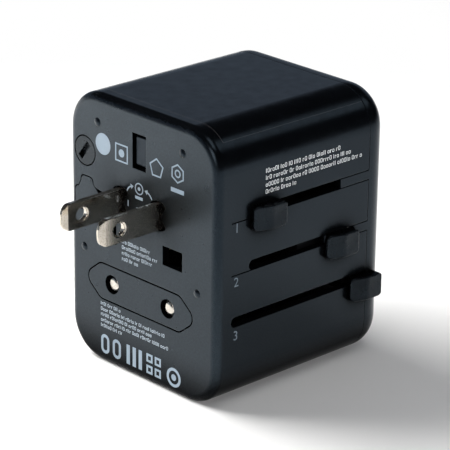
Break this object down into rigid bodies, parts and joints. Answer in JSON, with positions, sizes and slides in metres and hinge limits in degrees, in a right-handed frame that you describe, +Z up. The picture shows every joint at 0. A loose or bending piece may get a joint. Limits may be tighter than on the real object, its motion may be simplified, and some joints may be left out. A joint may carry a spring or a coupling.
{
  "type": "universal travel adapter",
  "caption": "Box-shaped travel plug adapter: sliding pin sets on the front face, side sliders, universal socket and USB ports at the rear.",
  "frame": {"origin": "middle of the bottom face that the adapter stands on", "axes": "+X across the front towards the slider side, +Y from the plug face to the socket face, +Z up"},
  "size_m": [0.053, 0.072, 0.0655],
  "materials": {
    "case_plastic": "fine spark texture",
    "knob_plastic": "smooth satin",
    "frame_plastic": "moulded, dark grey",
    "white_plastic": "moulded, white",
    "nickel": "nickel-plated brass",
    "brass": "spring brass",
    "steel": "zinc-plated steel",
    "board": "green glass-fibre board",
    "ceramic": "ceramic tube",
    "core": "ferrite",
    "coil": "taped winding",
    "sleeve": "shrink sleeve",
    "chip": "moulded resin",
    "lens": "clear plastic",
    "brown_wire": "insulated wire",
    "blue_wire": "insulated wire"
  },
  "bodies": {
    "case": {"main_case": "case_plastic", "socket_cover": "case_plastic", "socket_plate": "frame_plastic", "socket_housing": "frame_plastic", "housing_screws": "steel", "shutter_spring": "steel", "line_contact": "brass", "neutral_contact": "brass", "line_rail": "brass", "neutral_rail": "brass", "main_fuse": "ceramic", "fuse_spring": "steel", "fuse_contact": "brass", "spare_fuse_cover": "case_plastic", "spare_fuse": "ceramic", "usb_board": "board", "left_usb_shell": "steel", "right_usb_shell": "steel", "left_usb_tongue": "white_plastic", "right_usb_tongue": "white_plastic", "transformer_core": "core", "transformer_coil": "coil", "storage_capacitor": "sleeve", "board_chips": "chip", "indicator_led": "white_plastic", "led_lens": "lens", "line_wire": "brown_wire", "neutral_wire": "blue_wire"},
    "us_set": {"us_carrier": "frame_plastic", "us_knob": "knob_plastic"},
    "left_blade_turner": {"left_turner": "frame_plastic", "left_blade": "nickel"},
    "right_blade_turner": {"right_turner": "frame_plastic", "right_blade": "nickel"},
    "uk_set": {"uk_carrier": "frame_plastic", "uk_knob": "knob_plastic", "earth_pin": "case_plastic", "uk_line_pin": "nickel", "uk_neutral_pin": "nickel"},
    "nose": {"eu_nose": "case_plastic"},
    "eu_set": {"eu_carrier": "frame_plastic", "eu_knob": "knob_plastic", "eu_line_pin": "nickel", "eu_neutral_pin": "nickel"},
    "shutter": {"socket_shutter": "white_plastic"},
    "fuse_plug": {"fuse_cap": "knob_plastic"}
  },
  "joints": [
    {"name": "us_slide", "type": "slide", "parent": "case", "child": "us_set", "axis": [0, 1, 0], "range_m": [0, 0.0186]},
    {"name": "left_blade_turn", "type": "hinge", "parent": "us_set", "child": "left_blade_turner", "pos_m": [-0.00708, -0.022, 0.042], "axis": [0, 1, 0], "range_deg": [0, 30]},
    {"name": "right_blade_turn", "type": "hinge", "parent": "us_set", "child": "right_blade_turner", "pos_m": [0.00562, -0.022, 0.042], "axis": [0, -1, 0], "range_deg": [0, 30]},
    {"name": "uk_slide", "type": "slide", "parent": "case", "child": "uk_set", "axis": [0, -1, 0], "range_m": [0, 0.0233]},
    {"name": "nose_slide", "type": "slide", "parent": "case", "child": "nose", "axis": [0, -1, 0], "range_m": [0, 0.018]},
    {"name": "eu_slide", "type": "slide", "parent": "nose", "child": "eu_set", "axis": [0, -1, 0], "range_m": [0, 0.0198]},
    {"name": "shutter_slide", "type": "slide", "parent": "case", "child": "shutter", "axis": [0, 0, -1], "range_m": [0, 0.005], "stiffness_N_per_m": 100, "springref_m": -0.003, "deforming": ["shutter_spring"]},
    {"name": "fuse_cap_turn", "type": "hinge", "parent": "case", "child": "fuse_plug", "pos_m": [-0.0194, -0.025, 0.0509], "axis": [0, 1, 0], "range_deg": [0, 90]}
  ]
}
